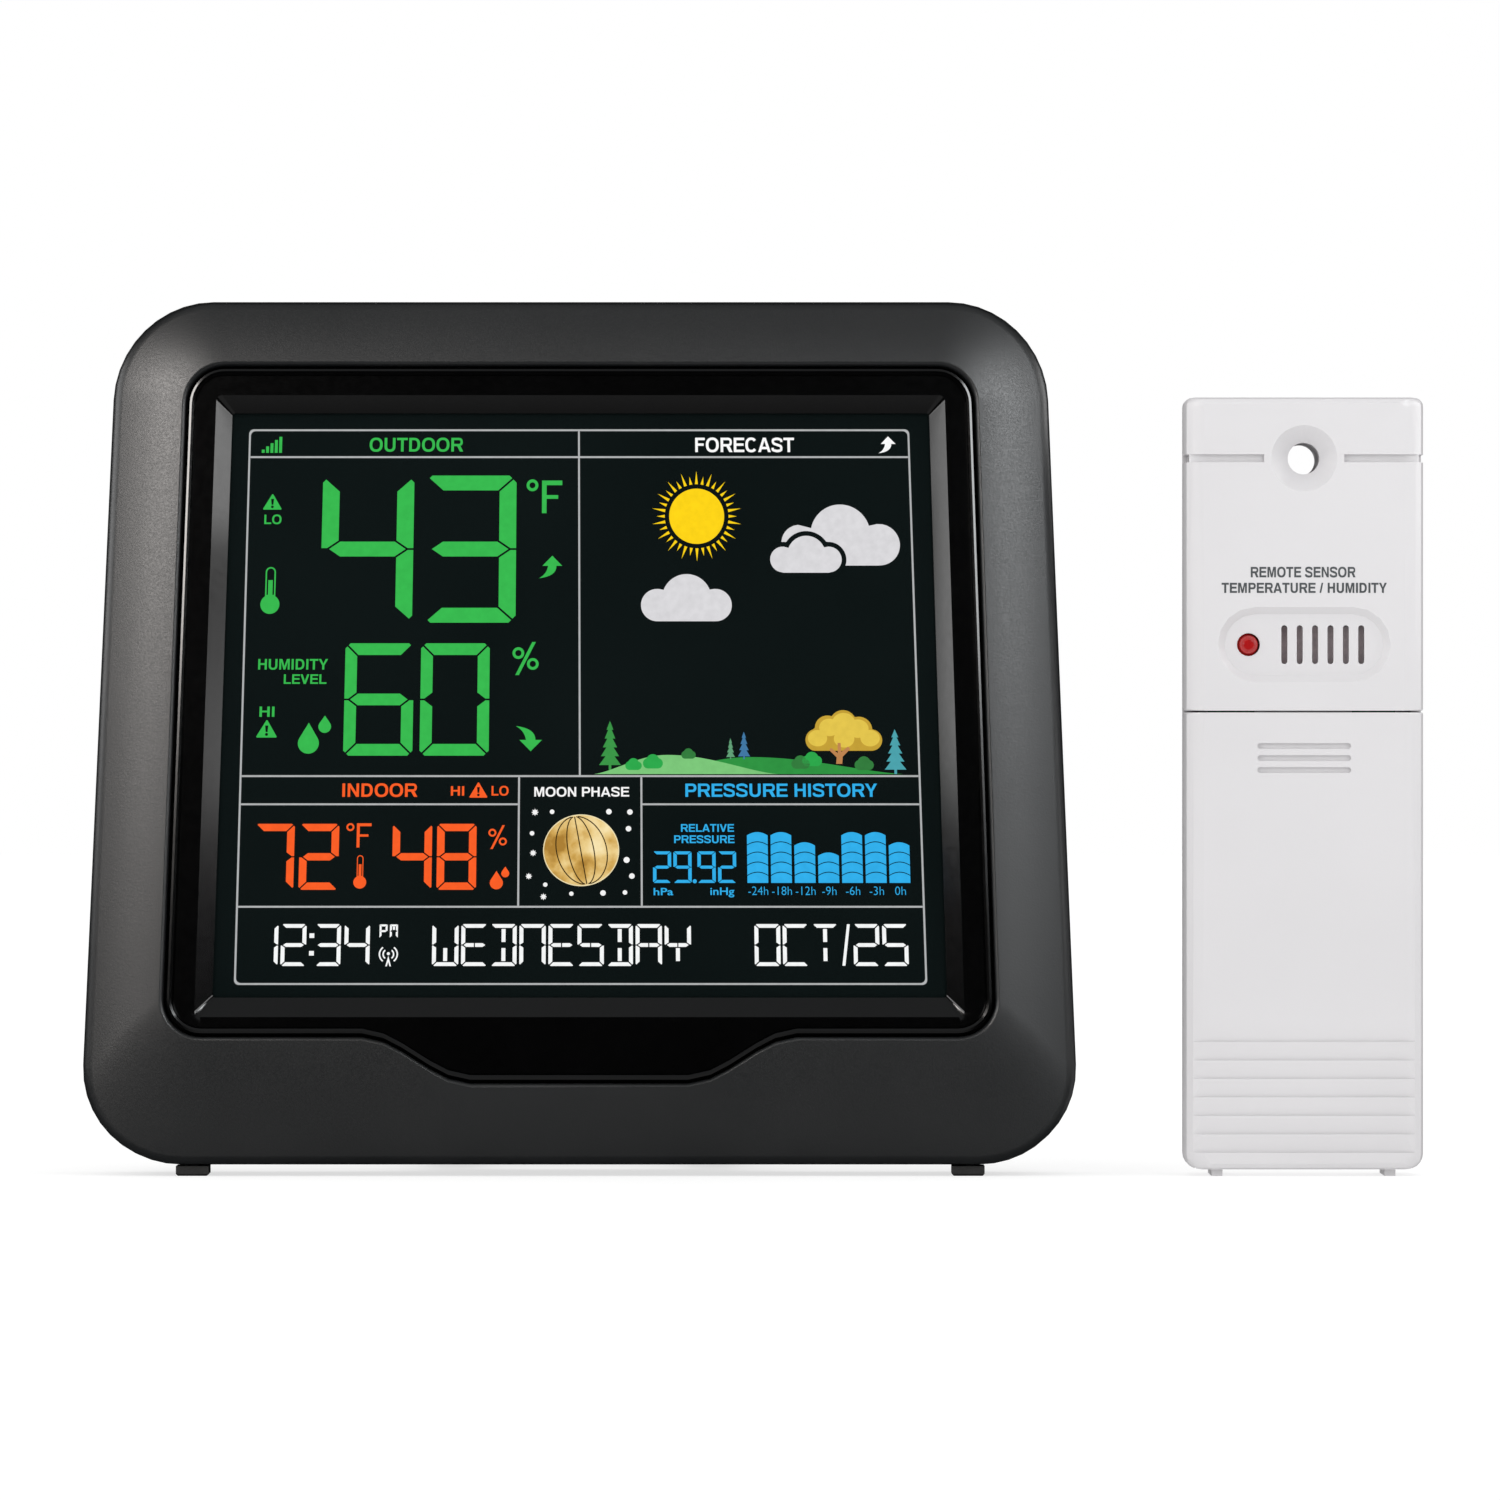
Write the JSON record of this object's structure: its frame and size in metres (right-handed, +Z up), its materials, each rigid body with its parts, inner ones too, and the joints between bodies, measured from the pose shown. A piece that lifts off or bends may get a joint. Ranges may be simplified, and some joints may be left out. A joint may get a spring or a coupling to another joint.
{
  "type": "weather station",
  "caption": "Desk weather station: a framed colour display leaning on a fold-out stand, with a slim white wireless outdoor sensor standing beside it.",
  "frame": {"origin": "centre of the bounding box at table level", "axes": "+X from the display towards the sensor, -Y the way both fronts face, +Z up"},
  "size_m": [0.221, 0.0706, 0.1447],
  "materials": {
    "charcoal": "fine satin grain",
    "gloss_black": "polished",
    "lcd_glass": "polished, dark polariser behind",
    "diffuser": "clear edge-lit sheet, satin",
    "white_plastic": "fine satin",
    "circuit_green": "solder mask",
    "black_plastic": "fine grain",
    "grey_button": "matte silicone",
    "rubber": "matte",
    "steel": "nickel plated",
    "ferrite": "dull",
    "cell_wrap": null,
    "copper": "bare wire",
    "red_lens": "clear red dome"
  },
  "bodies": {
    "display": {"front_frame": "charcoal", "window_bezel": "gloss_black", "lcd_panel": "lcd_glass", "lcd_holder": "white_plastic", "light_guide": "diffuser", "backlight_strip": "white_plastic", "main_board": "circuit_green", "rear_case": "black_plastic", "front_foot_left": "rubber", "front_foot_right": "rubber", "kickstand_pin": "steel", "dc_inlet": "black_plastic", "buzzer": "black_plastic", "time_antenna": "ferrite", "backup_cell_1": "cell_wrap", "cell_spring_1": "steel", "backup_cell_2": "cell_wrap", "cell_spring_2": "steel", "backup_cell_3": "cell_wrap", "cell_spring_3": "steel", "cell_contact_left": "steel", "cell_contact_right": "steel", "case_screw_1": "steel", "case_screw_2": "steel", "case_screw_3": "steel", "case_screw_4": "steel", "button_board": "circuit_green"},
    "kickstand": {"kickstand": "black_plastic", "kickstand_pad": "rubber"},
    "battery_door": {"battery_door": "black_plastic"},
    "button_history": {"button_history": "grey_button"},
    "button_alert": {"button_alert": "grey_button"},
    "button_down": {"button_down": "grey_button"},
    "button_up": {"button_up": "grey_button"},
    "button_set": {"button_set": "grey_button"},
    "button_light": {"button_light": "grey_button"},
    "sensor": {"sensor_front_shell": "white_plastic", "sensor_rear_shell": "white_plastic", "sensor_board": "circuit_green", "sensor_led": "red_lens", "sensor_cell_1": "cell_wrap", "sensor_cell_2": "cell_wrap", "sensor_spring_1": "steel", "sensor_spring_2": "steel", "sensor_link_plate": "steel", "sensor_contact_plus": "steel", "sensor_contact_minus": "steel", "sensor_antenna": "copper", "sensor_screw_1": "steel", "sensor_screw_2": "steel", "humidity_element": "white_plastic"},
    "sensor_cover": {"sensor_battery_cover": "white_plastic"},
    "transmit_button": {"transmit_button": "grey_button"}
  },
  "joints": [
    {"name": "kickstand_hinge", "type": "hinge", "parent": "display", "child": "kickstand", "pos_m": [-0.02858, -0.0064, 0.00726], "axis": [1, 0, 0], "range_deg": [0, 89]},
    {"name": "battery_door_slide", "type": "slide", "parent": "display", "child": "battery_door", "axis": [0, -0.1392, -0.9903], "range_m": [0, 0.0053]},
    {"name": "button_history_press", "type": "slide", "parent": "display", "child": "button_history", "axis": [0, -0.9903, 0.1392], "range_m": [0, 0.0008], "stiffness_N_per_m": 800, "springref_m": -0.0006},
    {"name": "button_alert_press", "type": "slide", "parent": "display", "child": "button_alert", "axis": [0, -0.9903, 0.1392], "range_m": [0, 0.0008], "stiffness_N_per_m": 800, "springref_m": -0.0006},
    {"name": "button_down_press", "type": "slide", "parent": "display", "child": "button_down", "axis": [0, -0.9903, 0.1392], "range_m": [0, 0.0008], "stiffness_N_per_m": 800, "springref_m": -0.0006},
    {"name": "button_up_press", "type": "slide", "parent": "display", "child": "button_up", "axis": [0, -0.9903, 0.1392], "range_m": [0, 0.0008], "stiffness_N_per_m": 800, "springref_m": -0.0006},
    {"name": "button_set_press", "type": "slide", "parent": "display", "child": "button_set", "axis": [0, -0.9903, 0.1392], "range_m": [0, 0.0008], "stiffness_N_per_m": 800, "springref_m": -0.0006},
    {"name": "button_light_press", "type": "slide", "parent": "display", "child": "button_light", "axis": [0, -0.9903, 0.1392], "range_m": [0, 0.0008], "stiffness_N_per_m": 800, "springref_m": -0.0006},
    {"name": "sensor_lift_off", "type": "slide", "parent": "display", "child": "sensor", "axis": [0, 0, 1], "range_m": [0, 0.16]},
    {"name": "sensor_cover_slide", "type": "slide", "parent": "sensor", "child": "sensor_cover", "axis": [0, 0, -1], "range_m": [0, 0.008]},
    {"name": "transmit_button_press", "type": "slide", "parent": "sensor", "child": "transmit_button", "axis": [0, 1, 0], "range_m": [0, 0.0005], "stiffness_N_per_m": 700, "springref_m": -0.0006}
  ]
}
